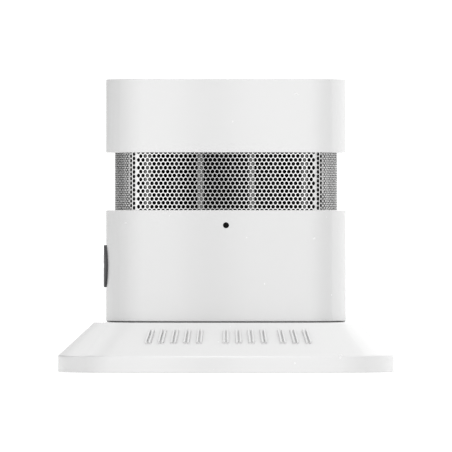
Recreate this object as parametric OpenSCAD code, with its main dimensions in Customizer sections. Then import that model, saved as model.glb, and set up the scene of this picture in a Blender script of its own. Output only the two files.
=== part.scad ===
// Compact ceiling smoke detector on a square mounting base.
// Modelled standing on its base: the mounting face is z = 0, the front is -Y, the button is on -X.

/* [Outline] */
// Width of the housing, across its bowed sides
body_w = 64; // [60:1:66]
// Radius of the bow of each housing side
side_r = 66.7; // [60:0.1:90]
// Radius of the housing's corners, seen from above
corner_r = 10.7; // [9:0.1:12]
// Thickness of the housing walls
wall = 2; // [1.8:0.1:2.2]

/* [Heights] */
// Height of the base's vertical edge
edge_h = 4.4; // [4:0.1:5]
// Height of the base's plateau, under the housing
plateau_z = 13.3; // [13:0.1:14]
// Gap between the plateau and the housing
seat_gap = 0.3; // [0.3:0.1:0.5]
// Height of the lower housing
housing_h = 29.5; // [29:0.5:31]
// Height of the band of insect screen between the housing and the cap
band_h = 15.3; // [15:0.1:17]
// Height of the cap
cap_h = 19.6; // [19:0.1:21]

/* [Base] */
// Width of the base at the mounting face
base_w = 89.6; // [88:0.1:92]
// Width of the plateau
plateau_w = 70.2; // [69:0.1:72]
// Thickness of the sloped skirt and the plateau
skirt_t = 2; // [1.8:0.1:2.2]
// Thickness of the floor of the well
floor_t = 2.4; // [2:0.1:2.6]
// Distance between diagonally opposite wall screws
screw_pcd = 60; // [59:0.5:61]
// Diameter of the wall screw holes
screw_hole_d = 4.2; // [4:0.1:4.5]
// Diameter of the cable opening
cable_d = 18; // [14:1:20]

/* [Bayonet] */
// Diameter of the spigot under the head
spigot_d = 47.2; // [46:0.1:47.5]
// Turn from locked to free, in degrees
twist = 18; // [16:1:20]

/* [Button] */
// Length of the test button
button_l = 17; // [16:0.5:18]
// Height of the test button
button_h = 11.3; // [11:0.1:12]
// Height of the button's centre above the mounting face
button_z = 28.2; // [28:0.1:29]
// How far the button stands proud of the wall
button_proud = 0.62; // [0.5:0.01:0.8]
// Travel of the button
button_travel = 0.5; // [0.3:0.1:0.5]

/* [Hidden] */
$fn = 72;

eps = 0.01;
white = [0.93, 0.93, 0.93];
graphite = [0.25, 0.25, 0.26];
inner_grey = [0.42, 0.42, 0.41];
black = [0.08, 0.08, 0.09];
steel = [0.72, 0.72, 0.72];

// Heights of the main seams
housing_z = plateau_z + seat_gap;
band_z = housing_z + housing_h;
cap_z = band_z + band_h;
top_z = cap_z + cap_h;

// Lower housing
deck_t = 1.4;                      // plate that carries the chamber
deck_z = band_z - 1.5 - deck_t;
deck_top = deck_z + deck_t;
deck_hole_r = 20;
lap = 1.5;                         // how far the screen goes into the housing and the cap
indicator_d = 1.6;
indicator_z = 39.1;

// Base
base_corner_r = 16;
plateau_corner_r = 12.7;
well_r = spigot_d / 2 + 2.4;
well_wall = 2;
ledge_t = 2;
ledge_z = 9;
ledge_d = 1.8;                      // how far a ledge stands out from the well's wall
ledge_span = [-4, twist];          // degrees, from the locked lug's start
stop_span = [-4, -0.8];
lug_span = [0, twist - 2];
lug_z = 6.2;
lug_h = 2.3;
lug_r = well_r - 0.6;
bayonet_count = 3;
screw_boss_r = 5.9;
screw_pocket_r = 4.5;
rib_count = 8;
rib_t = 1.2;

// Marks on the front slope
mark_share = 0.57;                 // how far up the slope their middles are
mark_w = 0.5;
mark_l = 4.9;
mark_proud = 0.7;
mark_gap = 0.95;                   // between the two marks of a pair
mark_pitch = 3.3;                  // between pairs
mark_groups = [[-20.6, 5], [-0.5, 4], [14.2, 3]];   // first mark's x, number of pairs

// Head
spigot_z = 5;
spigot_wall = 2.2;
cover_t = 2;
flange_in = 0.25;                  // cover's flange, in from the housing's outline
cover_gap = 0.12;                  // between the flange and the base
rear_screw_at = 21.9;
rear_boss_r = 3.8;
housing_boss_top = 31;
cap_screw_at = 19.1;
cap_boss_r = 3;
cap_pilot_l = 9;
pillar_r = 2.6;
baffle_at = 17.9;                  // middles of the corner baffles, from the centre
baffle_t = 1;
baffle_end = 26.2;
fin_at = 12.9;                     // middles of the fins beside the corners
fin_from = 23.6;
fin_foot_to = 25;
fin_gap = 0.2;                     // between a fin and the screen
rim_r = 24.4;                      // low rim on the floor, around the labyrinth
rim_t = 1;
rim_h = 0.7;

// Screws inside: shank, its pilot hole, its clearance hole and the recess for its head
shank_r = 1.2;
pilot_r = 1.25;
clear_r = 1.4;
recess_r = 2.6;
recess_h = 1;
rear_head = [2.4, 0.9];            // radius and height of a head
rear_screw_l = 12;
cap_head = [2.3, 1.6];
cap_screw_l = 27;
board_head = [2.2, 1.5];
board_shank_r = 1.05;
board_pilot_r = 1.1;
board_screw_l = 5;

// Screen and cage
screen_in = 2.4;                   // screen's outer face, in from the housing's
screen_t = 0.15;
cage_in = 2.65;                    // cage's outer face, in from the housing's
cage_t = 2.55;
post_w = 1.6;
post_d = 1.4;
post_behind = 0.3;                 // how far a post stands behind the cage's outer face
front_posts = [6.8, 20.8];         // places of the posts along the front and the back
side_posts = [6.8];
tab_at = [25.7, 19.4];             // middles of the cap's thin tabs, which go through the cage
tab_size = [0.5, 1];
tab_z = 47.5;
tab_root_h = 2;
tab_slot = 0.2;                    // clearance around a tab
chamber_in = cage_in + cage_t + 0.2;

// Board and what is on it
board_t = 1.6;
board_z = 33;
board_top = board_z + board_t;
board_in = wall + 0.6;
board_post_at = [24, 13];
board_post_r = 2.5;
board_notch = [26.8, 22];          // notch for the button: its inner end's x, its width
chip_size = [7, 7, 1.2];
chip_at = [4, 4];
coil_size = [4.2, 7];              // radius and height
coil_at = [12, -18];
capacitor_size = [4, 8];
capacitor_at = [-6, 18];
led_size = [1.6, 1.2, 0.6];
led_y = -25.7;
pipe_foot = 2;
pipe_gap = 0.1;

// Battery bay
battery_r = 8.5;
battery_l = 34.5;
battery_z = 16.2;
nub_r = 3.2;
nub_l = 0.85;
contact_t = 0.4;
contact_w = 6;
contact_low = 5;                   // how far a contact reaches below the battery's axis
bay_in = [36.4, 18.4];
bay_wall = 1.2;
bay_top = 26;

// Smoke chamber
chamber_floor_t = 1.6;
chamber_z = deck_top;
blade_r = 20;
blade_count = 20;
lid_r = 23;
optic_r = 2.5;
optic_z = 49;
optic_from = 9;                    // front of the lens, from the chamber's centre
optic_l = 7;
holder_w = 8;
holder_l = 7;
holder_top = 4;                    // above the optical axis
emitter_angle = 30;
diode_angle = 150;
shield_t = 0.3;
shield_l = 5;
shield_top = 3.5;
lead_r = 0.25;
lead_at = 1.27;                    // half the distance between two leads
lead_back = 1.2;                   // how far behind the lamp the leads turn down
lead_hole_r = 0.5;
lid_t = 1.6;
blade_size = [7.2, 0.9];
blade_turn = 56;

// Sounder
cup_r = 20;
cup_wall = 1.8;
cup_z = 65;
cup_floor_t = 1.2;
port_r = 4;
piezo_z = 70;
piezo_r = 17.5;
piezo_t = 0.3;
ceramic_r = 12.5;
ceramic_t = 0.25;
wire_r = 0.5;
wire_x = 1.2;
wire_y = 25.2;
wire_in = 6;                       // where the wires end, from the centre
wire_hole_r = 0.7;
wire_slot = [5, 3];                // width and height of the slot in the cup's wall

// Button and switch
button_gap = 0.3;
button_back = 28.9;                // outer face of the button's flange, from the centre
flange_t = 1;
flange_lip = 1.25;
stem_r = 1.6;
plunger_r = 1.2;
plunger_gap = 0.1;
switch_front = 22.4;
switch_size = [3.8, 6, 3.6];
stem_end = switch_front + 1.6 + button_travel;

// Points of an arc, from one angle up to, not including, the other
function arc(centre, r, from, to, steps) =
    [for (i = [0:steps - 1]) let (a = from + (to - from) * i / steps)
        centre + r * [cos(a), sin(a)]];

// A square whose sides bow outwards on a large radius, with round corners
function bowed_square(half, bow_r, round_r) =
    let (bow_c = bow_r - half,
         reach = bow_r - round_r,
         c = (sqrt(2 * reach * reach - bow_c * bow_c) - bow_c) / 2,
         meet = atan2(c, c + bow_c))
    [for (k = [0:3]) let (turn = 90 * k)
        each concat(
            arc(-bow_c * [cos(turn), sin(turn)], bow_r, turn - meet, turn + meet, 8),
            arc(c * sqrt(2) * [cos(turn + 45), sin(turn + 45)], round_r,
                turn + meet, turn + 90 - meet, 6))];

// How far out the housing's outline lies at a distance along a side, less an inset
function side_at(along, inset) =
    sqrt(pow(side_r - inset, 2) - along * along) - (side_r - body_w / 2);

// The housing's outline, moved in by an inset
module outline(inset = 0) {
    polygon(bowed_square(body_w / 2 - inset, side_r - inset, corner_r - inset));
}

module plate(z, h, inset = 0) {
    translate([0, 0, z]) linear_extrude(h) outline(inset);
}

module band(z, h, inset, t) {
    translate([0, 0, z]) linear_extrude(h) difference() {
        outline(inset);
        outline(inset + t);
    }
}

module ring_part(z, h, r_in, r_out, span) {
    translate([0, 0, z]) rotate([0, 0, span[0]])
        rotate_extrude(angle = span[1] - span[0]) translate([r_in, 0]) square([r_out - r_in, h]);
}

module rod(z, h, r) {
    translate([0, 0, z]) cylinder(h = h, r = r);
}

// Repeats its children at the four corners of a rectangle
module at_corners(x, y) {
    for (sx = [-1, 1], sy = [-1, 1]) translate([sx * x, sy * y, 0]) children();
}

// A stadium on its side, pushed along X
module stadium_x(length, height, from, to) {
    translate([from, 0, button_z]) rotate([90, 0, 90]) linear_extrude(to - from) {
        square([length - height, height], center = true);
        for (s = [-1, 1]) translate([s * (length - height) / 2, 0]) circle(height / 2);
    }
}

// The base's outer form, or with an inset the hollow under it
module base_form(inset, bottom, top) {
    hull() {
        translate([0, 0, bottom]) linear_extrude(edge_h - bottom)
            polygon(bowed_square(base_w / 2 - inset, side_r - inset, base_corner_r - inset));
        translate([0, 0, top - eps]) linear_extrude(eps)
            polygon(bowed_square(plateau_w / 2 - inset, side_r - inset,
                                 plateau_corner_r - inset));
    }
}

// Plain raised bars in pairs, in three groups on the front slope
module slope_marks() {
    run = (base_w - plateau_w) / 2;
    rise = plateau_z - edge_h;
    half = base_w / 2 - mark_share * run;
    for (group = mark_groups, i = [0:group[1] - 1], k = [0, 1]) {
        x = group[0] + i * mark_pitch + k * mark_gap;
        y = sqrt(side_r * side_r - x * x) - side_r + half;
        turn = asin(x / side_r);
        translate([x, -y, edge_h + mark_share * rise]) rotate([0, 0, turn])
            rotate([atan2(rise, run * cos(turn)), 0, 0])
                cube([mark_w, mark_l, 2 * mark_proud], center = true);
    }
}

module mounting_base() {
    screw_at = screw_pcd / 2 / sqrt(2);
    color(white) difference() {
        union() {
            difference() {
                base_form(0, 0, plateau_z);
                base_form(skirt_t, -1, plateau_z - skirt_t);
            }
            intersection() {
                base_form(skirt_t / 2, 0, plateau_z - skirt_t / 2);
                union() {
                    rod(0, plateau_z, well_r + well_wall);
                    at_corners(screw_at, screw_at) rod(0, plateau_z, screw_boss_r);
                    for (k = [0:rib_count - 1]) rotate([0, 0, 360 / rib_count * (k + 0.5)])
                        translate([well_r + 1, -rib_t / 2, 1])
                            cube([base_w, rib_t, plateau_z]);
                }
            }
            slope_marks();
        }
        rod(floor_t, plateau_z, well_r);
        rod(-1, plateau_z, cable_d / 2);
        at_corners(screw_at, screw_at) {
            rod(-1, plateau_z, screw_hole_d / 2);
            rod(floor_t, plateau_z, screw_pocket_r);
        }
    }
    color(white) for (k = [0:bayonet_count - 1]) rotate([0, 0, k * 360 / bayonet_count]) {
        ring_part(ledge_z, ledge_t, well_r - ledge_d, well_r + 0.5, ledge_span);
        ring_part(floor_t - 0.5, ledge_z - floor_t + 1, well_r - ledge_d, well_r + 0.5,
                  stop_span);
    }
}

module rear_cover() {
    flange_z = plateau_z + cover_gap;
    color(graphite) difference() {
        union() {
            plate(housing_z, cover_t, wall + 0.1);
            plate(flange_z, housing_z - flange_z, flange_in);
            rod(spigot_z, housing_z - spigot_z + 1, spigot_d / 2);
            translate([-bay_in[0] / 2 - bay_wall, -bay_in[1] / 2 - bay_wall, housing_z + 1])
                cube([bay_in[0] + 2 * bay_wall, bay_in[1] + 2 * bay_wall,
                      bay_top - housing_z - 1]);
            for (k = [0:bayonet_count - 1]) rotate([0, 0, k * 360 / bayonet_count])
                ring_part(lug_z, lug_h, spigot_d / 2 - 0.5, lug_r, lug_span);
        }
        rod(spigot_z - 1, housing_z - spigot_z + 1, spigot_d / 2 - spigot_wall);
        translate([-bay_in[0] / 2, -bay_in[1] / 2, spigot_z])
            cube([bay_in[0], bay_in[1], bay_top - bay_wall - spigot_z]);
        for (s = [-1, 1])
            translate([s * (battery_l + contact_t) / 2, 0, bay_top])
                cube([contact_t + 0.2, contact_w + 0.2, 2 * bay_wall + 1], center = true);
        at_corners(rear_screw_at, rear_screw_at) {
            rod(housing_z - 1, cover_t + 2, clear_r);
            rod(housing_z - 1, recess_h + 1, recess_r);
        }
    }
}

module lower_housing() {
    color(white) difference() {
        union() {
            band(housing_z, housing_h, 0, wall);
            plate(deck_z, deck_t, wall / 2);
            intersection() {
                plate(housing_z + cover_t, housing_boss_top - housing_z - cover_t, wall / 2);
                at_corners(rear_screw_at, rear_screw_at)
                    rod(housing_z, housing_h, rear_boss_r);
            }
            at_corners(board_post_at[0], board_post_at[1])
                rod(board_top, deck_z - board_top + 0.5, board_post_r);
        }
        rod(deck_z - 1, deck_t + 2, deck_hole_r);
        at_corners(rear_screw_at, rear_screw_at)
            rod(housing_z, housing_boss_top - housing_z - 2, pilot_r);
        at_corners(board_post_at[0], board_post_at[1])
            rod(board_z, board_screw_l + 0.2, board_pilot_r);
        at_corners(cap_screw_at, cap_screw_at) rod(deck_z - 1, deck_t + 2, clear_r);
        for (s = [-1, 1]) translate([s * wire_x, wire_y, 0])
            rod(deck_z - 1, deck_t + 2, wire_hole_r);
        translate([0, 0, indicator_z]) rotate([90, 0, 0])
            cylinder(h = body_w, r = indicator_d / 2);
        stadium_x(button_l + 2 * button_gap, button_h + 2 * button_gap, -body_w, -body_w / 4);
    }
}

module screen_cage() {
    color(inner_grey) difference() {
        union() {
            band(deck_top, lap, cage_in, cage_t);
            band(cap_z, lap, cage_in, cage_t);
            for (k = [0:3], s = [-1, 1], x = k % 2 == 0 ? front_posts : side_posts)
                rotate([0, 0, 90 * k])
                    translate([s * x, -side_at(x, cage_in) + post_d / 2 + post_behind,
                               deck_top + band_h / 2 + lap])
                        cube([post_w, post_d, band_h + lap], center = true);
        }
        at_corners(tab_at[0], tab_at[1]) translate([0, 0, cap_z])
            cube([tab_size[0] + 2 * tab_slot, tab_size[1] + 2 * tab_slot, 2 * lap + 1],
                 center = true);
    }
}

module insect_screen() {
    color(steel) band(deck_top, band_h + 2 * lap, screen_in, screen_t);
}

// A thin tab that hangs from the cap's wall, behind the screen
module cap_tab() {
    x = tab_at[0] - tab_size[0] / 2;
    y = tab_at[1] - tab_size[1] / 2;
    root_z = cap_z + lap + tab_slot;
    translate([x, y, tab_z]) cube([tab_size[0], tab_size[1], root_z + tab_root_h - tab_z]);
    translate([x, y, root_z]) cube([side_at(tab_at[1], wall / 2) - x, tab_size[1], tab_root_h]);
}

module top_cap() {
    color(white) difference() {
        union() {
            band(cap_z, cap_h, 0, wall);
            plate(top_z - wall, wall, wall / 2);
            at_corners(cap_screw_at, cap_screw_at)
                rod(cap_z + lap, cap_h - lap - wall / 2, cap_boss_r);
            for (sx = [0, 1], sy = [0, 1]) mirror([sx, 0, 0]) mirror([0, sy, 0]) cap_tab();
        }
        at_corners(cap_screw_at, cap_screw_at) rod(cap_z, cap_pilot_l, pilot_r);
    }
}

module sounder_cup() {
    color(inner_grey) difference() {
        rod(cup_z, top_z - wall - cup_z, cup_r);
        rod(piezo_z, top_z, cup_r - cup_wall);
        rod(cup_z + cup_floor_t, top_z, piezo_r - 0.8);
        rod(cup_z - 1, cup_floor_t + 2, port_r);
        translate([-wire_slot[0] / 2, 0, piezo_z + 0.2])
            cube([wire_slot[0], cup_r + 1, wire_slot[1]]);
    }
}

module piezo_disc() {
    color("gold") rod(piezo_z, piezo_t, piezo_r);
    color("ivory") rod(piezo_z + piezo_t, ceramic_t, ceramic_r);
}

module sounder_leads() {
    wire_z = piezo_z + piezo_t + ceramic_t + wire_r;
    color(black) for (s = [-1, 1]) translate([s * wire_x, wire_y, 0]) {
        rod(board_top, wire_z - board_top, wire_r);
        translate([0, 0, wire_z]) sphere(wire_r);
        translate([0, 0, wire_z]) rotate([90, 0, 0]) cylinder(h = wire_y - wire_in, r = wire_r);
    }
}

// Puts its children on a radial axis of the chamber, with X pointing outwards
module on_optic_axis(angle) {
    rotate([0, 0, angle]) translate([0, 0, optic_z]) children();
}

// A thin wall that stands on the chamber's floor and reaches out to the screen
module fin() {
    fin_end = side_at(fin_at + baffle_t / 2, screen_in + screen_t) - fin_gap;
    translate([fin_from, 0, chamber_z + 0.5])
        cube([fin_foot_to - fin_from, baffle_t, cap_z - 0.2 - chamber_z - 0.5]);
    translate([fin_from, 0, band_z + 0.2])
        cube([fin_end - fin_from, baffle_t, band_h - 0.4]);
}

module chamber_base() {
    holder_z = chamber_z + chamber_floor_t - optic_z;
    color(black) difference() {
        union() {
            plate(chamber_z, chamber_floor_t, chamber_in);
            difference() {
                rod(chamber_z + 0.5, chamber_floor_t - 0.5 + rim_h, rim_r);
                rod(chamber_z, chamber_floor_t + rim_h + 1, rim_r - rim_t);
            }
            at_corners(cap_screw_at, cap_screw_at)
                rod(chamber_z + 1, cap_z + lap - chamber_z - 1, pillar_r);
            for (k = [0:3]) rotate([0, 0, 90 * k]) for (s = [-1, 1])
                translate([cap_screw_at, s * baffle_at - baffle_t / 2, band_z + 0.2])
                    cube([baffle_end - cap_screw_at, baffle_t, band_h - 0.4]);
            for (k = [0:3]) rotate([0, 0, 90 * k]) for (s = [-1, 1])
                translate([0, s * fin_at - baffle_t / 2, 0]) fin();
            for (angle = [emitter_angle, diode_angle]) on_optic_axis(angle)
                translate([optic_from - 1, -holder_w / 2, holder_z - 0.5])
                    cube([holder_l, holder_w, holder_top - holder_z]);
        }
        at_corners(cap_screw_at, cap_screw_at) rod(chamber_z - 1, cap_z, clear_r);
        for (s = [-1, 1]) translate([s * wire_x, wire_y, 0])
            rod(chamber_z - 1, chamber_floor_t + 2, wire_hole_r);
        for (angle = [emitter_angle, diode_angle]) on_optic_axis(angle) {
            rotate([0, 90, 0]) cylinder(h = 30, r = optic_r + 0.1);
            for (s = [-1, 1])
                translate([optic_from + optic_l + lead_back, s * lead_at, -optic_z])
                    rod(chamber_z - 1, chamber_floor_t + 2, lead_hole_r);
        }
    }
}

module chamber_cover() {
    blade_z = chamber_z + chamber_floor_t + 0.2;
    color(black) {
        rod(cap_z, lid_t, lid_r);
        for (k = [0:blade_count - 1]) rotate([0, 0, 360 / blade_count * (k + 0.5)])
            translate([blade_r, 0, blade_z]) rotate([0, 0, blade_turn])
                translate([-blade_size[0] / 2, -blade_size[1] / 2, 0])
                    cube([blade_size[0], blade_size[1], cap_z - blade_z + 0.5]);
    }
}

// A 5 mm lamp on its side, its lens towards the chamber's centre, with its two leads
module optic(angle) {
    back = optic_from + optic_l;
    on_optic_axis(angle) {
        translate([optic_from + optic_r, 0, 0]) {
            sphere(optic_r);
            rotate([0, 90, 0]) cylinder(h = optic_l - optic_r, r = optic_r);
        }
        for (s = [-1, 1]) translate([back, s * lead_at, 0]) {
            translate([-1, 0, 0]) rotate([0, 90, 0]) cylinder(h = 1 + lead_back, r = lead_r);
            translate([lead_back, 0, 0]) {
                sphere(lead_r);
                translate([0, 0, board_top - optic_z])
                    cylinder(h = optic_z - board_top, r = lead_r);
            }
        }
    }
}

module ir_emitter() {
    color("lightblue") optic(emitter_angle);
}

module photodiode() {
    color("dimgray") optic(diode_angle);
}

module photodiode_shield() {
    reach = holder_w / 2;
    z = chamber_z + chamber_floor_t - optic_z;
    color(steel) on_optic_axis(diode_angle) difference() {
        translate([optic_from, -reach - shield_t, z])
            cube([shield_l, 2 * (reach + shield_t), shield_top + shield_t - z]);
        translate([optic_from - 1, -reach, z - 1])
            cube([shield_l + 2, 2 * reach, shield_top - z + 1]);
    }
}

module main_board() {
    color("darkgreen") difference() {
        plate(board_z, board_t, board_in);
        at_corners(board_post_at[0], board_post_at[1]) rod(board_z - 1, board_t + 2, clear_r);
        translate([-body_w, -board_notch[1] / 2, board_z - 1])
            cube([body_w - board_notch[0], board_notch[1], board_t + 2]);
    }
}

module detector_chip() {
    color(black) translate([chip_at[0], chip_at[1], board_top]) cube(chip_size);
}

module driver_coil() {
    color("orange") translate([coil_at[0], coil_at[1], board_z - coil_size[1]])
        cylinder(h = coil_size[1], r = coil_size[0]);
}

module buffer_capacitor() {
    color("navy") translate([capacitor_at[0], capacitor_at[1], board_z - capacitor_size[1]])
        cylinder(h = capacitor_size[1], r = capacitor_size[0]);
}

module status_led() {
    color("lime") translate([0, led_y, board_top + led_size[2] / 2]) cube(led_size, center = true);
}

module light_pipe() {
    low = board_top + led_size[2] + pipe_gap;
    color("white") {
        translate([-pipe_foot / 2, led_y - pipe_foot / 2, low])
            cube([pipe_foot, pipe_foot, indicator_z + indicator_d / 2 - low]);
        translate([0, led_y, indicator_z]) rotate([90, 0, 0])
            cylinder(h = body_w / 2 - 1 + led_y, r = indicator_d / 2 - 0.05);
    }
}

module test_switch() {
    low = button_z - switch_size[2] / 2;
    color(black) difference() {
        union() {
            translate([-switch_front, -switch_size[1] / 2, low]) cube(switch_size);
            translate([-switch_front + 1.4, -switch_size[1] / 2, button_z])
                cube([switch_size[0] - 1.4, switch_size[1], board_z - button_z]);
        }
        translate([-switch_front - 1, 0, button_z]) rotate([0, 90, 0])
            cylinder(h = 3.2, r = plunger_r + 0.05);
    }
}

module switch_plunger() {
    color("ivory") translate([-stem_end + plunger_gap, 0, button_z]) rotate([0, 90, 0])
        cylinder(h = stem_end - switch_front + 1.2, r = plunger_r);
}

module test_button() {
    bow_c = side_r - body_w / 2;
    color(graphite) {
        intersection() {
            stadium_x(button_l, button_h, -body_w, -button_back + 0.5);
            translate([bow_c, 0, 0]) cylinder(h = top_z, r = side_r + button_proud, $fn = 256);
        }
        stadium_x(button_l + 2 * flange_lip, button_h + 2 * flange_lip,
                  -button_back, -button_back + flange_t);
        translate([-button_back, 0, button_z]) rotate([0, 90, 0])
            cylinder(h = button_back - stem_end, r = stem_r);
    }
}

module battery() {
    color("purple") translate([-battery_l / 2, 0, battery_z]) rotate([0, 90, 0]) {
        cylinder(h = battery_l - nub_l, r = battery_r);
        cylinder(h = battery_l, r = nub_r);
    }
}

module contact(side) {
    low = battery_z - contact_low;
    color(steel) translate([side * (battery_l + contact_t) / 2, 0, (low + board_z) / 2])
        cube([contact_t, contact_w, board_z - low], center = true);
}

module battery_contact_positive() {
    contact(1);
}

module battery_contact_negative() {
    contact(-1);
}

// A pan-head screw pointing up, its head's seat at z; head holds the head's radius and height
module screw(z, length, r, head) {
    rod(z - head[1], head[1], head[0]);
    rod(z - eps, length, r);
}

module rear_screws() {
    color(steel) at_corners(rear_screw_at, rear_screw_at)
        screw(housing_z + recess_h, rear_screw_l, shank_r, rear_head);
}

module cap_screws() {
    color(steel) at_corners(cap_screw_at, cap_screw_at)
        screw(deck_z, cap_screw_l, shank_r, cap_head);
}

module board_screws() {
    color(steel) at_corners(board_post_at[0], board_post_at[1])
        screw(board_z, board_screw_l, board_shank_r, board_head);
}

mounting_base();
rear_cover();
lower_housing();
screen_cage();
insect_screen();
top_cap();
sounder_cup();
piezo_disc();
sounder_leads();
chamber_base();
chamber_cover();
ir_emitter();
photodiode();
photodiode_shield();
main_board();
detector_chip();
driver_coil();
buffer_capacitor();
status_led();
light_pipe();
test_switch();
switch_plunger();
test_button();
battery();
battery_contact_positive();
battery_contact_negative();
rear_screws();
cap_screws();
board_screws();
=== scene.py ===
import math

import bmesh
import bpy
from mathutils import Matrix, Vector


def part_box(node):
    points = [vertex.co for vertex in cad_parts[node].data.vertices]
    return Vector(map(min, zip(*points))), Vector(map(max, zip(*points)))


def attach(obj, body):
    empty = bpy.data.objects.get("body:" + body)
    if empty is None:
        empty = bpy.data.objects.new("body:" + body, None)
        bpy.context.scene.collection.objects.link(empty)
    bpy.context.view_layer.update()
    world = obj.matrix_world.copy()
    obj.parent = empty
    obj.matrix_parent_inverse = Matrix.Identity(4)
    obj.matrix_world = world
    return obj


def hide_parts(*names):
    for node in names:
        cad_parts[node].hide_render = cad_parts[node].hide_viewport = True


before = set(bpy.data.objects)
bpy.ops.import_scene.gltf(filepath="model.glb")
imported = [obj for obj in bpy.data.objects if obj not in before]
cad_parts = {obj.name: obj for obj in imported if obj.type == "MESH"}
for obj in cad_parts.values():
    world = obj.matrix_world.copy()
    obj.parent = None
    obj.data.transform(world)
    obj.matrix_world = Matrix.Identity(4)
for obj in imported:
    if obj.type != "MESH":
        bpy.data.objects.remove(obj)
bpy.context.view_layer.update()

MM = 0.001

# Heights and half widths that the CAD nodes give
base_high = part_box("mounting_base")[1]
housing_low, housing_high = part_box("lower_housing")
cap_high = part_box("top_cap")[1]
screen_low, screen_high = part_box("insect_screen")
button_low, button_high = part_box("test_button")

BASE_HALF = base_high.x
PLATEAU_Z = base_high.z
HOUSING_HALF = housing_high.x
HOUSING_Z = (housing_low.z, housing_high.z)
SCREEN_HALF = screen_high.x
SCREEN_Z = (screen_low.z, screen_high.z)

# Sizes of the design that no box gives
BOW_R = 66.7 * MM
CORNER_R = 10.7 * MM
BASE_CORNER_R = 16 * MM
PLATEAU_HALF = 35.1 * MM
PLATEAU_CORNER_R = 12.7 * MM
EDGE_H = 4.4 * MM
SKIRT_T = 2 * MM
FLOOR_T = 2.4 * MM
WELL_R = 26 * MM
WELL_WALL = 2 * MM
CABLE_R = 9 * MM
SCREW_CIRCLE_R = 30 * MM
SCREW_BOSS_R = 5.9 * MM
SCREW_HOLE_R = 2.1 * MM
SCREW_POCKET_R = 4.5 * MM
RIB_COUNT = 8
RIB_T = 1.2 * MM
WALL = 2 * MM
DECK_TOP = HOUSING_Z[1] - 1.5 * MM
DECK_T = 1.4 * MM
DECK_HOLE_R = 20 * MM
INDICATOR_Z = 39.1 * MM
INDICATOR_R = 0.8 * MM
BUTTON_L = 17 * MM
BUTTON_H = 11.3 * MM
BUTTON_Z = (button_low.z + button_high.z) / 2
BUTTON_PROUD = -button_low.x - HOUSING_HALF
BUTTON_GAP = 0.3 * MM          # between the button and the edge of its opening
BUTTON_DEPTH = 3.7 * MM        # from its outermost point to its flange
BUTTON_EDGE_R = 0.3 * MM
FLANGE_T = 1 * MM
FLANGE_LIP = 1.25 * MM
SHEET_T = 0.15 * MM
LAP = 1.5 * MM
CAP_Z = (SCREEN_Z[1] - LAP, cap_high.z)
REAR_BOSS_AT = 21.9 * MM
REAR_BOSS_R = 3.8 * MM
REAR_BOSS_TOP = 31 * MM
CAP_BOSS_AT = 19.1 * MM
CAP_BOSS_R = 3 * MM
PILOT_R = 1.25 * MM
PILOT_L = 9 * MM
CLEAR_R = 1.4 * MM
BOARD_POST_AT = (24 * MM, 13 * MM)
BOARD_POST_R = 2.5 * MM
BOARD_TOP = 34.6 * MM
TAB_AT = (25.7 * MM, 19.4 * MM)
TAB_SIZE = (0.5 * MM, 1 * MM)
TAB_Z = 47.5 * MM
TAB_ROOT = (60.1 * MM, 62.1 * MM)
STEM_R = 1.6 * MM
STEM_END = -24.5 * MM

# How finely curves are drawn
BOW_STEPS = 24
CORNER_STEPS = 16
ARC_STEPS = 5                  # along the rounding of an edge
STADIUM_STEPS = 20             # along each end of a stadium
EDGE_STEPS = 6                 # along the rounding of the button's edge
CYLINDER_SIDES = 48
PILOT_SIDES = 24
INDICATOR_SIDES = 40
END_SHARES = (0.7, 0.35, 0.08)   # sizes of the rings that fill a closed end


# ---- meshes -------------------------------------------------------------------------

def corner_centre(half, bow_r, corner_r):
    """How far a bowed square's corner centre lies from the middle, in x and in y alike."""
    bow_c = bow_r - half
    reach = bow_r - corner_r
    return (math.sqrt(2 * reach * reach - bow_c * bow_c) - bow_c) / 2


def bowed_square(half, bow_r, corner_r):
    """Points of a square with bowed sides and round corners, anticlockwise."""
    bow_c = bow_r - half
    c = corner_centre(half, bow_r, corner_r)
    meet = math.atan2(c, c + bow_c)
    points = []
    for k in range(4):
        turn = k * math.pi / 2
        for i in range(BOW_STEPS):
            a = turn - meet + 2 * meet * i / BOW_STEPS
            points.append((-bow_c * math.cos(turn) + bow_r * math.cos(a),
                           -bow_c * math.sin(turn) + bow_r * math.sin(a)))
        out = c * math.sqrt(2)
        middle = turn + math.pi / 4
        for i in range(CORNER_STEPS):
            a = turn + meet + (math.pi / 2 - 2 * meet) * i / CORNER_STEPS
            points.append((out * math.cos(middle) + corner_r * math.cos(a),
                           out * math.sin(middle) + corner_r * math.sin(a)))
    return points


def housing_ring(inset, z):
    """The housing's outline, moved in by an inset, at a height."""
    points = bowed_square(HOUSING_HALF - inset, BOW_R - inset, CORNER_R - inset)
    return [(x, y, z) for x, y in points]


def base_ring(half, z, inset=0):
    """The base's outline where it is this wide, moved in by an inset."""
    share = (half - PLATEAU_HALF) / (BASE_HALF - PLATEAU_HALF)
    corner = PLATEAU_CORNER_R + share * (BASE_CORNER_R - PLATEAU_CORNER_R)
    points = bowed_square(half - inset, BOW_R - inset, corner - inset)
    return [(x, y, z) for x, y in points]


def circle_ring(r, z):
    """A circle whose points lie in the same directions as the housing's outline."""
    points = []
    for x, y in bowed_square(HOUSING_HALF, BOW_R, CORNER_R):
        length = math.hypot(x, y)
        points.append((x / length * r, y / length * r, z))
    return points


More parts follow.
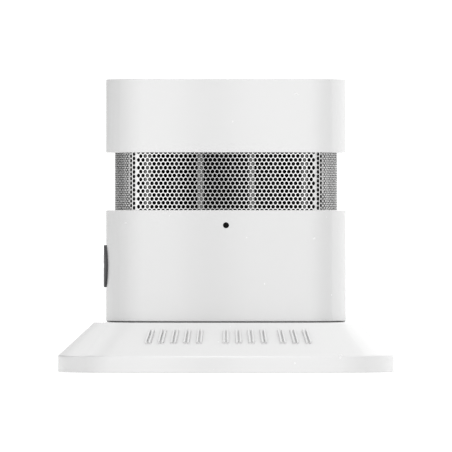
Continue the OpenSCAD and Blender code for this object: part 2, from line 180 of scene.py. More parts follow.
def rounded(corners):
    """A polyline through (u, z, radius) corners, with an arc at each corner that has a radius."""
    line = []
    for i, (u, z, r) in enumerate(corners):
        here = Vector((u, z))
        if not r or i in (0, len(corners) - 1):
            line.append((u, z))
            continue
        back = (Vector(corners[i - 1][:2]) - here).normalized()
        on = (Vector(corners[i + 1][:2]) - here).normalized()
        half_angle = back.angle(on) / 2
        centre = here + (back + on).normalized() * r / math.sin(half_angle)
        start = here + back * r / math.tan(half_angle) - centre
        end = here + on * r / math.tan(half_angle) - centre
        sweep = start.angle_signed(end)
        for k in range(ARC_STEPS + 1):
            turned = Matrix.Rotation(-sweep * k / ARC_STEPS, 2) @ start
            line.append(tuple(centre + turned))
    return line


def new_piece(name, bm, sharp=35):
    """An object from a bmesh, shaded smooth between edges sharper than an angle in degrees."""
    bmesh.ops.recalc_face_normals(bm, faces=bm.faces)
    mesh = bpy.data.meshes.new(name)
    bm.to_mesh(mesh)
    bm.free()
    obj = bpy.data.objects.new(name, mesh)
    bpy.context.scene.collection.objects.link(obj)
    shade(obj, sharp)
    return obj


def shade(obj, sharp=35):
    obj.data.polygons.foreach_set("use_smooth", [True] * len(obj.data.polygons))
    obj.data.set_sharp_from_angle(angle=math.radians(sharp))


def weigh_normals(obj):
    """Keeps wide flats flat where they meet a small rounding."""
    modifier = obj.modifiers.new("weighted", "WEIGHTED_NORMAL")
    modifier.keep_sharp = True
    modifier.weight = 80


def loft_bmesh(rings, loop=False):
    """Quads from ring to ring. With loop the last ring joins the first; otherwise both ends
    are closed."""
    bm = bmesh.new()
    rows = [[bm.verts.new(p) for p in ring] for ring in rings]
    count = len(rows[0])
    pairs = list(zip(rows, rows[1:] + rows[:1] if loop else rows[1:]))
    for low, high in pairs:
        for i in range(count):
            j = (i + 1) % count
            bm.faces.new((low[i], low[j], high[j], high[i]))
    if not loop:
        bm.faces.new(list(reversed(rows[0])))
        bm.faces.new(rows[-1])
    return bm


def disc_rings(ring):
    """Rings scaled towards the axis, from the outside in, to fill an end with even faces."""
    return [[(x * s, y * s, z) for x, y, z in ring] for s in END_SHARES]


def cylinder(name, r, low, high, centre=(0, 0), axis="Z", segments=CYLINDER_SIDES):
    """A plain cylinder between two places on an axis, for cutting or joining. The centre gives
    the other two coordinates, in the order of x, y, z."""
    bm = bmesh.new()
    bmesh.ops.create_cone(bm, cap_ends=True, segments=segments, radius1=r, radius2=r,
                          depth=high - low)
    bmesh.ops.translate(bm, verts=bm.verts, vec=(0, 0, (low + high) / 2))
    if axis == "X":
        bmesh.ops.rotate(bm, verts=bm.verts, matrix=Matrix.Rotation(math.pi / 2, 3, "Y"))
        bmesh.ops.translate(bm, verts=bm.verts, vec=(0, centre[0], centre[1]))
    elif axis == "Y":
        bmesh.ops.rotate(bm, verts=bm.verts, matrix=Matrix.Rotation(-math.pi / 2, 3, "X"))
        bmesh.ops.translate(bm, verts=bm.verts, vec=(centre[0], 0, centre[1]))
    else:
        bmesh.ops.translate(bm, verts=bm.verts, vec=(centre[0], centre[1], 0))
    return new_piece(name, bm)


def block(name, low, high):
    """A block between two corners, for joining."""
    bm = bmesh.new()
    bmesh.ops.create_cube(bm, size=1)
    for v in bm.verts:
        v.co = [high[k] if v.co[k] > 0 else low[k] for k in range(3)]
    return new_piece(name, bm)


def combine(target, others, operation):
    """Joins or cuts with other pieces, which are used up."""
    for other in others:
        modifier = target.modifiers.new("cut", "BOOLEAN")
        modifier.operation = operation
        modifier.solver = "MANIFOLD"
        modifier.object = other
        depsgraph = bpy.context.evaluated_depsgraph_get()
        result = bpy.data.meshes.new_from_object(target.evaluated_get(depsgraph))
        target.modifiers.clear()
        old = target.data
        target.data = result
        bpy.data.meshes.remove(old)
        bpy.data.objects.remove(other)
    shade(target)


def corners(x, y=None):
    """The four corners of a rectangle, or of a square."""
    return [(sx * x, sy * (x if y is None else y)) for sx in (-1, 1) for sy in (-1, 1)]


# ---- materials ----------------------------------------------------------------------

class Nodes:
    """A small helper for building a material's nodes."""

    def __init__(self, name):
        self.material = bpy.data.materials.new(name)
        self.material.use_nodes = True
        self.tree = self.material.node_tree
        self.shader = self.tree.nodes["Principled BSDF"]

    def add(self, kind, **values):
        node = self.tree.nodes.new(kind)
        for key, value in values.items():
            if hasattr(node, key):
                setattr(node, key, value)
            else:
                node.inputs[key.replace("_", " ")].default_value = value
        return node

    def link(self, source, target):
        self.tree.links.new(source, target)

    def place(self):
        """Object coordinates, which stay with the piece."""
        return self.add("ShaderNodeTexCoord").outputs["Object"]

    def noise(self, scale, detail):
        node = self.add("ShaderNodeTexNoise", Scale=scale, Detail=detail)
        self.link(self.place(), node.inputs["Vector"])
        return node.outputs["Fac"]

    def spread(self, value, low, high):
        """Turns a 0 to 1 pattern into a range."""
        node = self.add("ShaderNodeMapRange")
        node.inputs["To Min"].default_value = low
        node.inputs["To Max"].default_value = high
        self.link(value, node.inputs["Value"])
        return node.outputs["Result"]

    def tint(self, value, dark, light):
        node = self.add("ShaderNodeMix", data_type="RGBA")
        node.inputs[6].default_value = (*dark, 1)
        node.inputs[7].default_value = (*light, 1)
        self.link(value, node.inputs[0])
        return node.outputs[2]

    def bump(self, value, distance, strength):
        node = self.add("ShaderNodeBump")
        node.inputs["Distance"].default_value = distance
        node.inputs["Strength"].default_value = strength
        self.link(value, node.inputs["Height"])
        self.link(node.outputs["Normal"], self.shader.inputs["Normal"])

    def set(self, **values):
        for key, value in values.items():
            self.shader.inputs[key.replace("_", " ")].default_value = value


# Noise scales are in cycles a metre
TONE_SCALE = 45
GLOSS_SCALE = 320
GRAIN_SCALE = 2600
GRAIN_DEPTH = 0.004 * MM
METAL_GRAIN_SCALE = 900
METAL_GRAIN_DEPTH = 0.002 * MM


def plastic(name, dark, light, rough, grain=GRAIN_SCALE, depth=GRAIN_DEPTH, specular=0.5,
            ior=1.5):
    """Moulded plastic: a fine spark-eroded grain, with slow changes of tone and gloss."""
    n = Nodes(name)
    n.link(n.tint(n.noise(TONE_SCALE, 4), dark, light), n.shader.inputs["Base Color"])
    n.link(n.spread(n.noise(GLOSS_SCALE, 3), rough - 0.05, rough + 0.05),
           n.shader.inputs["Roughness"])
    n.bump(n.noise(grain, 2), depth, 0.6)
    n.set(Specular_IOR_Level=specular, IOR=ior)
    return n.material


def metal(name, dark, light, rough, stretch=(1, 1, 1)):
    """Satin metal with a fine grain that runs along one direction."""
    n = Nodes(name)
    mapping = n.add("ShaderNodeMapping")
    mapping.inputs["Scale"].default_value = stretch
    n.link(n.place(), mapping.inputs["Vector"])
    streaks = n.add("ShaderNodeTexNoise", Scale=METAL_GRAIN_SCALE, Detail=4.0)
    n.link(mapping.outputs["Vector"], streaks.inputs["Vector"])
    n.link(n.tint(streaks.outputs["Fac"], dark, light), n.shader.inputs["Base Color"])
    n.link(n.spread(streaks.outputs["Fac"], rough - 0.06, rough + 0.06),
           n.shader.inputs["Roughness"])
    n.bump(streaks.outputs["Fac"], METAL_GRAIN_DEPTH, 0.5)
    n.set(Metallic=1.0)
    return n.material


def grey(level):
    return (level, level, level)


def make_materials():
    """The looks by name: each a material with its darker and lighter colour, and roughness."""
    return {
        "cap": plastic("cap_plastic", grey(0.565), grey(0.585), 0.25, specular=1.0, ior=1.57),
        # The housing's plastic is darker than the cap's and the base's: painted shade, for the
        # dimmer light on the lower housing.
        "housing": plastic("housing_plastic", grey(0.53), grey(0.55), 0.25, grain=1700,
                           depth=0.005 * MM, specular=1.0, ior=1.62),
        "base": plastic("base_plastic", grey(0.58), grey(0.60), 0.25, specular=1.0, ior=1.57),
        "inner_grey": plastic("inner_grey_plastic", (0.105, 0.105, 0.103), (0.125, 0.125, 0.123),
                              0.5),
        "screen": metal("perforated_steel", (0.76, 0.76, 0.755), (0.84, 0.84, 0.835), 0.2,
                        stretch=(1, 1, 0.15)),
        "graphite": plastic("button_graphite", (0.050, 0.050, 0.052), (0.065, 0.065, 0.068),
                            0.6, grain=1800, depth=0.006 * MM, specular=0.25),
        "black": plastic("chamber_black", (0.004, 0.004, 0.0045), (0.009, 0.009, 0.01), 0.7,
                         grain=1500, specular=0.12),
        "board": plastic("board_laminate", (0.010, 0.055, 0.022), (0.018, 0.085, 0.034), 0.3,
                         grain=900),
        "brass": metal("piezo_brass", (0.55, 0.38, 0.14), (0.68, 0.50, 0.22), 0.3),
        "nickel": metal("contact_nickel", (0.60, 0.57, 0.52), (0.72, 0.69, 0.64), 0.22),
        "blackened": metal("shield_steel", (0.03, 0.03, 0.033), (0.06, 0.06, 0.065), 0.5),
        "zinc": metal("screw_steel", (0.50, 0.50, 0.51), (0.62, 0.62, 0.63), 0.3),
        "wire": plastic("wire_insulation", (0.010, 0.010, 0.011), (0.016, 0.016, 0.017), 0.4),
        "emitter": plastic("lamp_epoxy", (0.34, 0.43, 0.58), (0.42, 0.52, 0.66), 0.08),
        "diode": plastic("diode_epoxy", (0.012, 0.011, 0.016), (0.022, 0.02, 0.028), 0.08),
        "coil": metal("copper_winding", (0.34, 0.12, 0.04), (0.55, 0.22, 0.08), 0.35,
                      stretch=(0.1, 0.1, 3)),
        "sleeve": plastic("capacitor_sleeve", (0.008, 0.011, 0.032), (0.014, 0.018, 0.05), 0.2),
        "battery": plastic("battery_sleeve", (0.032, 0.034, 0.042), (0.05, 0.053, 0.065), 0.25),
        "lamp": plastic("led_white", (0.60, 0.62, 0.52), (0.70, 0.72, 0.62), 0.2),
        "pipe": plastic("clear_pipe", grey(0.001), grey(0.002), 0.3, specular=0.1),
        "plunger": plastic("plunger_plastic", (0.58, 0.55, 0.47), (0.66, 0.63, 0.55), 0.45),
    }


# The CAD nodes that are shown as they are, and their looks
CAD_LOOKS = {
    # The rear cover is dark graphite plastic; its thin edge at the seam under the housing also
    # paints the shadow line there.
    "rear_cover": "graphite", "screen_cage": "inner_grey", "sounder_cup": "inner_grey",
    "piezo_disc": "brass", "sounder_leads": "wire", "chamber_base": "black",
    "chamber_cover": "black", "ir_emitter": "emitter", "photodiode": "diode",
    "photodiode_shield": "blackened", "main_board": "board", "detector_chip": "black",
    "driver_coil": "coil", "buffer_capacitor": "sleeve", "status_led": "lamp",
    "light_pipe": "pipe", "test_switch": "black", "switch_plunger": "plunger",
    "battery": "battery", "battery_contact_positive": "nickel",
    "battery_contact_negative": "nickel", "rear_screws": "zinc", "cap_screws": "zinc",
    "board_screws": "zinc",
}


def finish_piece(obj, material, body, slot, *nodes):
    """Gives a piece its look and its body, and hides the CAD nodes it replaces. Its slot is not
    used.
    """
    obj.data.materials.clear()
    obj.data.materials.append(material)
    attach(obj, body)
    if nodes:
        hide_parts(*nodes)


# ---- base ---------------------------------------------------------------------------

def rib(turn, ceiling):
    """A rib under the skirt, from the well's wall to the edge, with a sloping top."""
    inner = WELL_R + WELL_WALL / 2
    outer = BASE_HALF - 1 * MM
    bm = bmesh.new()
    bmesh.ops.create_cube(bm, size=1)
    bmesh.ops.scale(bm, verts=bm.verts, vec=(outer - inner, RIB_T, 1))
    for v in bm.verts:
        far = v.co.x > 0
        v.co.x += (outer + inner) / 2
        if v.co.z < 0:
            v.co.z = 1 * MM
        else:
            v.co.z = EDGE_H - 1.6 * MM if far else ceiling + 0.5 * MM
    bmesh.ops.rotate(bm, verts=bm.verts, matrix=Matrix.Rotation(turn, 3, "Z"))
    return new_piece("rib", bm)


def make_base(materials):
    """The mounting base: edge, sloped skirt, plateau, well, and the ribbed hollow under it."""
    ceiling = PLATEAU_Z - SKIRT_T
    outer = rounded([(BASE_HALF - SKIRT_T, 0, 0), (BASE_HALF, 0, 0.25 * MM),
                     (BASE_HALF, EDGE_H, 0.8 * MM), (PLATEAU_HALF, PLATEAU_Z, 0.7 * MM),
                     (WELL_R + 4 * MM, PLATEAU_Z, 0)])
    well = rounded([(WELL_R + 2 * MM, PLATEAU_Z, 0), (WELL_R, PLATEAU_Z, 0.4 * MM),
                    (WELL_R, FLOOR_T, 0), (CABLE_R, FLOOR_T, 0.3 * MM), (CABLE_R, 0, 0.3 * MM),
                    (WELL_R + WELL_WALL, 0, 0.25 * MM), (WELL_R + WELL_WALL, ceiling, 0)])
    under = [(PLATEAU_HALF, ceiling), (BASE_HALF, EDGE_H)]
    rings = [base_ring(half, z) for half, z in outer[1:-1]]
    rings += [circle_ring(r, z) for r, z in well]
    rings += [base_ring(half, z, SKIRT_T) for half, z in under]
    rings += [base_ring(BASE_HALF, 0.2 * MM, SKIRT_T)]
    rings += [base_ring(BASE_HALF, 0, SKIRT_T - 0.2 * MM)]
    shell = new_piece("base_shell", loft_bmesh(rings, loop=True))

    screw_at = SCREW_CIRCLE_R / math.sqrt(2)
    added = [cylinder("boss", SCREW_BOSS_R, 0, ceiling + 0.5 * MM, at)
             for at in corners(screw_at)]
    added += [rib(math.radians(22.5 + 360 / RIB_COUNT * k), ceiling) for k in range(RIB_COUNT)]
    combine(shell, added, "UNION")
    cuts = [cylinder("hole", SCREW_HOLE_R, -1 * MM, PLATEAU_Z + 1 * MM, at)
            for at in corners(screw_at)]
    cuts += [cylinder("pocket", SCREW_POCKET_R, FLOOR_T, PLATEAU_Z + 1 * MM, at)
             for at in corners(screw_at)]
    combine(shell, cuts, "DIFFERENCE")
    weigh_normals(shell)
    finish_piece(shell, materials["base"], "base", "base_plastic", "mounting_base")


def slope_point(x, share):
    """A place on the front slope: across at x, from 0 at its foot to 1 at its top."""
    half = BASE_HALF + (PLATEAU_HALF - BASE_HALF) * share
    y = math.sqrt(BOW_R * BOW_R - x * x) - (BOW_R - half)
    return Vector((x, -y, EDGE_H + (PLATEAU_Z - EDGE_H) * share))


MARK_SHARE = 0.57              # how far up the slope their middles are
MARK_W = 0.5 * MM
MARK_L = 4.9 * MM
MARK_PROUD = 0.7 * MM
MARK_BEVEL = 0.08 * MM
MARK_END_SLANT = 0.12 * MM     # how much shorter a mark is at its top
MARK_FOOT = -0.2 * MM          # how deep its foot is in the slope
MARK_GAP = 0.95 * MM           # between the two marks of a pair
MARK_PITCH = 3.3 * MM          # between pairs
MARK_GROUPS = ((-20.6 * MM, 5), (-0.5 * MM, 4), (14.2 * MM, 3))   # first x, number of pairs


def make_marks(materials):
    """Plain raised bars in pairs, in three groups, in the place of the moulded wording."""
    run = BASE_HALF - PLATEAU_HALF
    rise = PLATEAU_Z - EDGE_H
    bm = bmesh.new()
    for first, count in MARK_GROUPS:
        for i in range(2 * count):
            x = first + i // 2 * MARK_PITCH + i % 2 * MARK_GAP
            middle = slope_point(x, MARK_SHARE)
            turn = math.asin(middle.x / BOW_R)
            tilt = math.atan2(rise, run * math.cos(turn))
            inward = Vector((-math.sin(turn), math.cos(turn), 0))
            along = inward * math.cos(tilt) + Vector((0, 0, math.sin(tilt)))
            across = Vector((math.cos(turn), math.sin(turn), 0))
            out = across.cross(along)
            side = MARK_W / 2
            rings = []
            for end, lift in ((-1, 0), (-1, 1), (1, 1), (1, 0)):
                place = middle + along * (MARK_L / 2 - MARK_END_SLANT * lift) * end
                top = MARK_PROUD if lift else MARK_PROUD * 0.7
                section = ((-side, MARK_FOOT), (-side, top - MARK_BEVEL),
                           (-side + MARK_BEVEL, top), (side - MARK_BEVEL, top),
                           (side, top - MARK_BEVEL), (side, MARK_FOOT))
                rings.append([bm.verts.new(place + across * a + out * b) for a, b in section])
            for low, high in zip(rings, rings[1:]):
                for k in range(len(low)):
                    j = (k + 1) % len(low)
                    bm.faces.new((low[k], low[j], high[j], high[k]))
            bm.faces.new(rings[0])
            bm.faces.new(list(reversed(rings[-1])))
    marks = new_piece("slope_marks", bm, sharp=30)
    finish_piece(marks, materials["base"], "base", "base_plastic")


# ---- head shells --------------------------------------------------------------------

def stadium(length, height):
    """Points of a stadium in Y and Z, about the button's centre."""
    r = height / 2
    straight = (length - height) / 2
    points = []
    for k, side in enumerate((1, -1)):
        for i in range(STADIUM_STEPS + 1):
            a = -math.pi / 2 + k * math.pi + math.pi * i / STADIUM_STEPS
            points.append((side * straight + r * math.cos(a), r * math.sin(a)))
        for i in range(1, 6):
            points.append((side * straight * (1 - i / 3), side * r))
    return points


def make_housing(materials):
    """The lower housing: bowed walls, a deck near the top, bosses and the two openings."""
    low, high = HOUSING_Z
    wall = rounded([(WALL, low, 0), (0, low, 0.25 * MM), (0, high, 0.15 * MM),
                    (WALL, high, 0.3 * MM), (WALL, DECK_TOP, 0)])
    rings = [housing_ring(inset, z) for inset, z in wall[1:]]
    rings += [circle_ring(DECK_HOLE_R, DECK_TOP), circle_ring(DECK_HOLE_R, DECK_TOP - DECK_T)]
    rings += [housing_ring(WALL, DECK_TOP - DECK_T), housing_ring(WALL, low + 0.2 * MM),
              housing_ring(WALL - 0.2 * MM, low)]
    shell = new_piece("housing_shell", loft_bmesh(rings, loop=True))
    opening = stadium(BUTTON_L + 2 * BUTTON_GAP, BUTTON_H + 2 * BUTTON_GAP)
    bm = loft_bmesh([[(x, y, z + BUTTON_Z) for y, z in opening]
                     for x in (-HOUSING_HALF - 2 * MM, -HOUSING_HALF / 2)])
    bosses = [cylinder("boss", REAR_BOSS_R, low + 2 * MM, REAR_BOSS_TOP, at)
              for at in corners(REAR_BOSS_AT)]
    bosses += [cylinder("post", BOARD_POST_R, BOARD_TOP, DECK_TOP - DECK_T / 2, at)
               for at in corners(*BOARD_POST_AT)]
    combine(shell, bosses, "UNION")
    cuts = [new_piece("button_cut", bm),
            cylinder("indicator_cut", INDICATOR_R, -HOUSING_HALF - MM, -HOUSING_HALF / 2,
                     (0, INDICATOR_Z), axis="Y", segments=INDICATOR_SIDES)]
    cuts += [cylinder("pilot", PILOT_R, low, REAR_BOSS_TOP - 2 * MM, at,
                      segments=PILOT_SIDES)
             for at in corners(REAR_BOSS_AT)]
    cuts += [cylinder("clearance", CLEAR_R, DECK_TOP - 2 * MM, DECK_TOP + MM, at,
                      segments=PILOT_SIDES)
             for at in corners(CAP_BOSS_AT)]
    combine(shell, cuts, "DIFFERENCE")
    weigh_normals(shell)
    finish_piece(shell, materials["housing"], "head", "housing_plastic", "lower_housing")


def make_cap(materials):
    """The cap: bowed walls and a flat top, with its screw bosses and four thin tabs."""
    low, high = CAP_Z
    flat = 8 * MM              # from here in, the closing rings are only scaled
    wall = rounded([(flat, high - WALL, 0), (WALL, high - WALL, 0.4 * MM),
                    (WALL, low, 0.2 * MM), (0, low, 0.12 * MM), (0, high, 0.25 * MM),
                    (flat, high, 0)])
    rings = list(reversed(disc_rings(housing_ring(*wall[0]))))
    rings += [housing_ring(inset, z) for inset, z in wall]
    rings += disc_rings(housing_ring(*wall[-1]))
    shell = new_piece("cap_shell", loft_bmesh(rings))
    added = [cylinder("boss", CAP_BOSS_R, low + LAP, high - WALL / 2, at)
             for at in corners(CAP_BOSS_AT)]
    for x, y in corners(*TAB_AT):
        sides = [x - TAB_SIZE[0] / 2, x + TAB_SIZE[0] / 2]
        in_wall = math.sqrt((BOW_R - WALL / 2) ** 2 - y * y) - BOW_R + HOUSING_HALF
        in_wall = math.copysign(in_wall, x)
        near, far = y - TAB_SIZE[1] / 2, y + TAB_SIZE[1] / 2
        added.append(block("tab", (sides[0], near, TAB_Z), (sides[1], far, TAB_ROOT[1])))
        root = sorted([in_wall, x])
        added.append(block("root", (root[0], near, TAB_ROOT[0]), (root[1], far, TAB_ROOT[1])))
    combine(shell, added, "UNION")
    combine(shell, [cylinder("pilot", PILOT_R, low, low + PILOT_L, at, segments=PILOT_SIDES)
                    for at in corners(CAP_BOSS_AT)], "DIFFERENCE")
    weigh_normals(shell)
    finish_piece(shell, materials["cap"], "head", "housing_plastic", "top_cap")


# ---- insect screen ------------------------------------------------------------------

PITCH = 1.19 * MM              # between holes in a row
ROW = 1.034 * MM               # between rows
HOLE_R = 0.54 * MM
HOLE_SIDES = 12
HOLE_MARGIN = 0.03 * MM        # of plain metal, at least, beside a panel's edge
HOLES_PAST = 1 * MM            # how far the holes go on behind the housing and the cap
FRONT_EDGE = 23.85 * MM        # half a panel's width, along the bend: front and back
SIDE_EDGE = 24.35 * MM         # and at the sides
FIRST_ROW = 57.46 * MM         # height of a row of the front and back panels
FIRST_HOLE = 58.0 * MM         # height of a hole of the side panels, whose rows are upright
LATTICE_REACH = 26             # rows and holes either side of the first


def sheet_at(along):
    """The screen's outer face at a distance along a side: how far out, and its direction."""
    inset = HOUSING_HALF - SCREEN_HALF
    bow_r = BOW_R - inset
    corner_r = CORNER_R - inset
    bow_c = bow_r - SCREEN_HALF
    c = corner_centre(SCREEN_HALF, bow_r, corner_r)
    side = math.copysign(1, along)
    a = abs(along)
    if a <= c * bow_r / (bow_r - corner_r):
        sine = a / bow_r
        out = bow_r * math.sqrt(1 - sine * sine) - bow_c
    else:
        sine = (a - c) / corner_r
        out = c + corner_r * math.sqrt(1 - sine * sine)
    return out, Vector((side * sine, math.sqrt(1 - sine * sine)))


def clip(points, keep, cut):
    """The part of a polygon where keep(point) is 0 or more; cut gives the crossing."""
    result = []
    for i, here in enumerate(points):
        after = points[(i + 1) % len(points)]
        a, b = keep(here), keep(after)
        if a >= 0:
            result.append(here)
        if a * b < 0:
            result.append(cut(here, after, a / (a - b)))
    return result


def clip_to_box(points, low, high):
    """The part of a polygon in a box, or an empty list."""
    def between(p, q, t):
        return (p[0] + (q[0] - p[0]) * t, p[1] + (q[1] - p[1]) * t)
    for axis in (0, 1):
        points = clip(points, lambda p, k=axis: p[k] - low[k], between)
        if len(points) < 3:
            return []
        points = clip(points, lambda p, k=axis: high[k] - p[k], between)
        if len(points) < 3:
            return []
    return points


def cell_outline(upright):
    """The 12 points of a hexagonal cell about its centre: its corners and its edges' middles."""
    right = [(PITCH / 2, 0), (PITCH / 2, ROW / 3), (PITCH / 4, ROW / 2)]
    upper = right + [(0, ROW * 2 / 3)] + [(-x, y) for x, y in reversed(right)]
    outline = upper + [(x, -y) for x, y in reversed(upper[1:-1])]
    return [(-y, x) for x, y in outline] if upright else outline


def sheet_cells(edge, upright):
    """Centres of the cells of one panel, in level rows or, on the side panels, in columns."""
    cells = []
    for line in range(-LATTICE_REACH, LATTICE_REACH + 1):
        shift = (line + upright) % 2 / 2
        for n in range(-LATTICE_REACH, LATTICE_REACH + 1):
            step = (n + shift) * PITCH
            cells.append((line * ROW, FIRST_HOLE - step) if upright
                         else (step, FIRST_ROW - line * ROW))
    return [(u, z) for u, z in cells if abs(u) < edge + PITCH
            and SCREEN_Z[0] - PITCH < z < SCREEN_Z[1] + PITCH]


def flat_panel(edge, upright):
    """One panel laid flat: its faces around and between the holes, and the holes' rims, as
    points (along, z)."""
    low = (-edge, SCREEN_Z[0])
    high = (edge, SCREEN_Z[1])
    holes_low = HOUSING_Z[1] - HOLES_PAST
    holes_high = CAP_Z[0] + HOLES_PAST
    start = math.pi / 2 if upright else 0
    faces = []
    rims = []
    for u, z in sheet_cells(edge, upright):
        outline = [(u + a, z + b) for a, b in cell_outline(upright)]
        squeeze = sheet_at(u)[1].y
        if abs(u) + HOLE_R * squeeze + HOLE_MARGIN < edge and holes_low < z < holes_high:
            outline = [(min(max(p[0], low[0]), high[0]), p[1]) for p in outline]
            angles = [start + 2 * math.pi * i / HOLE_SIDES for i in range(HOLE_SIDES)]
            hole = [(u + HOLE_R * squeeze * math.cos(a), z + HOLE_R * math.sin(a))
                    for a in angles]
            for i in range(HOLE_SIDES):
                j = (i + 1) % HOLE_SIDES
                faces.append((outline[i], outline[j], hole[j], hole[i]))
            rims.append(hole)
        else:
            inside = clip_to_box(outline, low, high)
            if inside:
                faces.append(tuple(inside))
    return faces, rims


def make_screen_panel(name, materials, turn, edge, upright):
    """One bent panel of perforated sheet, drawn flat and laid on the outline."""
    faces, rims = flat_panel(edge, upright)
    bm = bmesh.new()
    turned = Matrix.Rotation(turn, 3, "Z")
    made = {}

    def vert(point, depth):
        """The panel's one vertex at a flat place, on its outer (0) or inner (1) face."""
        key = (round(point[0] * 1e8), round(point[1] * 1e8))
        if key not in made:
            out, normal = sheet_at(point[0])
            pair = [Vector((point[0] - normal.x * d, normal.y * d - out, point[1]))
                    for d in (0, SHEET_T)]
            made[key] = [bm.verts.new(turned @ place) for place in pair]
        return made[key][depth]

    def add_face(verts):
        once = list(dict.fromkeys(verts))
        if len(once) > 2:
            bm.faces.new(once)

    for depth in (0, 1):
        for face in faces:
            verts = [vert(point, depth) for point in face]
            add_face(list(reversed(verts)) if depth else verts)
    for hole in rims:
        for i in range(HOLE_SIDES):
            j = (i + 1) % HOLE_SIDES
            add_face((vert(hole[i], 0), vert(hole[j], 0), vert(hole[j], 1), vert(hole[i], 1)))
    pairs = {outer: inner for outer, inner in made.values()}
    for e in [e for e in bm.edges if e.is_boundary]:
        a, b = e.verts
        if a in pairs and b in pairs:
            add_face((a, b, pairs[b], pairs[a]))
    panel = new_piece(name, bm, sharp=40)
    finish_piece(panel, materials["screen"], "head", "perforated_steel", "insect_screen")


def make_screen(materials):
    """The insect screen's four panels; the side panels have their rows of holes upright."""
    for quarter, name in enumerate(("front", "right", "back", "left")):
        upright = quarter % 2 == 1
        make_screen_panel(f"screen_panel_{name}", materials, quarter * math.pi / 2,
                          SIDE_EDGE if upright else FRONT_EDGE, upright)


# ---- button -------------------------------------------------------------------------

def make_button(materials):
    """The test button: a bowed oval face with a soft edge, and its retaining flange."""
    bow_c = BOW_R - HOUSING_HALF

    def face_x(y):
        return bow_c - math.sqrt((BOW_R + BUTTON_PROUD) ** 2 - y * y)

    def ring(inset, sink=0, x=None):
        """The button's outline, moved in, either sunk below its bowed face or at an x."""
        points = []
        for y, z in stadium(BUTTON_L - 2 * inset, BUTTON_H - 2 * inset):
            points.append((face_x(y) + sink if x is None else x, y, z + BUTTON_Z))
        return points

    back = button_low.x + BUTTON_DEPTH
    rings = [ring(BUTTON_H / 2 * (1 - share), 0) for share in (0.12, 0.4, 0.7)]
    for i in range(EDGE_STEPS + 1):
        a = math.pi / 2 * i / EDGE_STEPS
        rings.append(ring(BUTTON_EDGE_R * (1 - math.sin(a)), BUTTON_EDGE_R * (1 - math.cos(a))))
    rings.append(ring(0, x=back))
    rings.append(ring(-FLANGE_LIP, x=back))
    rings.append(ring(-FLANGE_LIP, x=back + FLANGE_T))
    rings.append(ring(BUTTON_H / 4, x=back + FLANGE_T))
    button = new_piece("button_cap", loft_bmesh(rings), sharp=40)
    combine(button, [cylinder("stem", STEM_R, back + FLANGE_T / 2, STEM_END, (0, BUTTON_Z),
                              axis="X")], "UNION")
    weigh_normals(button)
    finish_piece(button, materials["graphite"], "button", "button_graphite", "test_button")


# ---- stage, light and camera --------------------------------------------------------

def make_stage():
    """A plain white floor, which glows a little so that it stays even around the object."""
    bm = bmesh.new()
    bmesh.ops.create_grid(bm, x_segments=1, y_segments=1, size=20)
    floor = new_piece("stage_floor", bm)
    floor.location.z = -0.02 * MM
    n = Nodes("stage_white")
    n.set(Base_Color=(0.5, 0.5, 0.5, 1), Roughness=0.9, Specular_IOR_Level=0.0,
          Emission_Color=(1, 1, 1, 1), Emission_Strength=0.6)
    floor.data.materials.append(n.material)


# The studio as seen from the object: (degrees from the front, brightness), with positive angles
# to the right. Near level, soft boxes stand either side with darker gaps between them; higher
# up, the light is strongest at the front and at the back.
LEVEL = ((-180, 1.5), (-176, 1.2), (-170, 0.55), (-164, 0.35), (-150, 0.35), (-130, 0.6),
         (-105, 0.75), (-76, 1.25), (-48, 1.6), (-30, 1.6), (-21, 1.3), (-15, 0.2),
         (-11, 0.08), (-5, 0.08), (0, 0.2), (7, 1.15), (24, 1.45), (36, 1.65), (50, 1.5),
         (70, 1.0), (88, 0.55), (115, 0.5), (135, 0.8), (150, 1.15), (174, 1.3), (180, 1.5))
UPPER = ((-180, 2.1), (-168, 1.35), (-160, 1.05), (-150, 1.3), (-142, 1.4), (-125, 0.6),
         (-110, 0.15), (-70, 0.9), (-35, 1.9), (0, 2.55), (35, 1.6), (70, 1.0), (110, 1.25),
         (150, 1.25), (180, 2.1))
ZENITH = 1.2
BRIGHTEST = 2.8                # the ramps hold brightness as a share of this
LEVEL_BAND = (0.3, 0.15)       # z of a direction: from nothing of LEVEL to all of it
ZENITH_BAND = (0.75, 0.95)     # and from nothing of ZENITH to all of it


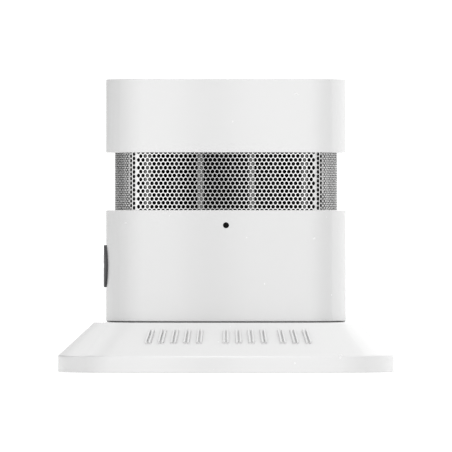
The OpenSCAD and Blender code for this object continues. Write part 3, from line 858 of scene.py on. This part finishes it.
def make_lights():
    """Light from all round, as in a light tent, brighter and darker by direction."""
    world = bpy.data.worlds.new("studio")
    bpy.context.scene.world = world
    world.use_nodes = True
    tree = world.node_tree
    background = tree.nodes["Background"]

    def calc(operation, *values):
        node = tree.nodes.new("ShaderNodeMath")
        node.operation = operation
        for i, value in enumerate(values):
            if isinstance(value, (int, float)):
                node.inputs[i].default_value = value
            else:
                tree.links.new(value, node.inputs[i])
        return node.outputs[0]

    def smooth(value, start, end):
        node = tree.nodes.new("ShaderNodeMapRange")
        node.interpolation_type = "SMOOTHSTEP"
        node.inputs["From Min"].default_value = start
        node.inputs["From Max"].default_value = end
        tree.links.new(value, node.inputs["Value"])
        return node.outputs["Result"]

    place = tree.nodes.new("ShaderNodeTexCoord").outputs["Generated"]
    split = tree.nodes.new("ShaderNodeSeparateXYZ")
    tree.links.new(place, split.inputs[0])
    x, y, z = split.outputs
    angle = calc("ARCTAN2", x, calc("MULTIPLY", y, -1.0))
    share = calc("MULTIPLY_ADD", angle, 0.5 / math.pi, 0.5)

    def brightness_by_angle(table):
        ramp = tree.nodes.new("ShaderNodeValToRGB")
        tree.links.new(share, ramp.inputs[0])
        stops = ramp.color_ramp.elements
        for i, (degrees, brightness) in enumerate(table):
            position = (degrees + 180) / 360
            stop = stops[i] if i < 2 else stops.new(position)
            stop.position = position
            stop.color = (*[brightness / BRIGHTEST] * 3, 1)
        return calc("MULTIPLY", ramp.outputs[0], BRIGHTEST)

    def blend(first, second, amount):
        return calc("MULTIPLY_ADD", calc("SUBTRACT", second, first), amount, first)

    high = blend(brightness_by_angle(UPPER), ZENITH, smooth(z, *ZENITH_BAND))
    near_level = smooth(calc("ABSOLUTE", z), *LEVEL_BAND)
    strength = blend(high, brightness_by_angle(LEVEL), near_level)
    tree.links.new(strength, background.inputs["Strength"])
    background.inputs["Color"].default_value = (1, 1, 1, 1)


def make_camera():
    """Level, straight on, from far away, framed like a product picture. The camera isn't
    farther off than this, because other views keep its lens, and clip at 100 object radii."""
    span = 0.12053             # width of the picture at the object, in metres
    height = 38.9 * MM
    distance = 5
    data = bpy.data.cameras.new("camera")
    data.sensor_width = 36
    data.lens = data.sensor_width * distance / span
    data.clip_end = 50
    camera = bpy.data.objects.new("camera", data)
    bpy.context.scene.collection.objects.link(camera)
    camera.location = (0, -distance, height)
    camera.rotation_euler = (math.pi / 2, 0, 0)
    bpy.context.scene.camera = camera


def main():
    bpy.context.scene.view_settings.view_transform = "Standard"
    make_camera()
    materials = make_materials()
    make_base(materials)
    make_marks(materials)
    make_housing(materials)
    make_cap(materials)
    make_screen(materials)
    make_button(materials)
    for node, look in CAD_LOOKS.items():
        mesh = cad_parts[node].data
        mesh.materials.clear()
        mesh.materials.append(materials[look])
    make_stage()
    make_lights()


main()
